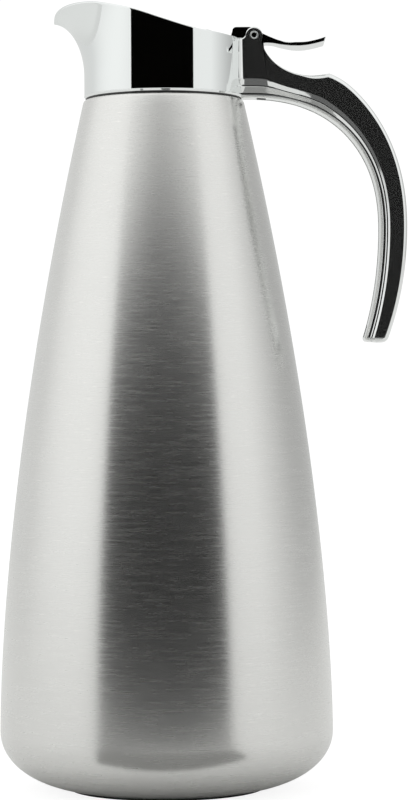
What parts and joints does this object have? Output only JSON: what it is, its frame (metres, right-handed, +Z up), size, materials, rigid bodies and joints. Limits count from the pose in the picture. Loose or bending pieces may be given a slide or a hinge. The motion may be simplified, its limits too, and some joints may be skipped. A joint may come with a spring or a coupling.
{
  "type": "vacuum jug",
  "caption": "Conical double-wall steel vacuum jug with a chrome pouring collar, a hook handle and a sprung thumb lever that lifts the lid.",
  "frame": {"origin": "centre of the base pad's lower face, on the body's axis", "axes": "+Z up along the body's axis, +X towards the handle, -X towards the spout, +Y to the jug's left when the handle faces the user"},
  "size_m": [0.1597, 0.13, 0.3053],
  "materials": {
    "brushed_shell": "fine brushing round the axis",
    "steel_inside": "satin",
    "chrome": "mirror polished plating",
    "black_plastic": "satin moulded polypropylene",
    "pad": "matt",
    "silicone": "soft matt silicone",
    "bearing": "natural acetal",
    "spring_steel": "drawn wire",
    "copper_foil": "bright foil",
    "solder": "dull",
    "foam": "closed-cell foam"
  },
  "bodies": {
    "jug": {"outer_shell": "brushed_shell", "base_plate": "steel_inside", "base_pad": "pad", "vacuum_seal_cap": "solder", "getter_capsule": "steel_inside", "inner_bottle": "steel_inside", "inner_base_cup": "steel_inside", "radiation_shield": "copper_foil", "neck_gasket": "silicone", "neck_ring": "black_plastic", "lock_ring": "spring_steel", "collar_liner": "black_plastic", "spout_collar": "chrome", "handle_ring": "chrome", "handle_shell": "chrome", "handle_strip": "chrome", "handle_core": "steel_inside", "handle_end_cap": "black_plastic", "handle_screws": "spring_steel", "hinge_pin": "chrome", "hinge_washers": "bearing", "lever_spring": "spring_steel"},
    "lid": {"thumb_lever": "chrome", "lever_bush": "bearing", "lid_plate": "chrome", "lid_plug": "black_plastic", "lid_insulation": "foam", "lid_seal": "silicone", "lid_screws": "spring_steel"}
  },
  "joints": [
    {"name": "lid_hinge", "type": "hinge", "parent": "jug", "child": "lid", "pos_m": [0.0354, 0, 0.2933], "axis": [0, 1, 0], "range_deg": [0, 28], "stiffness_Nm_per_rad": 0.04, "springref_deg": -40.11}
  ]
}
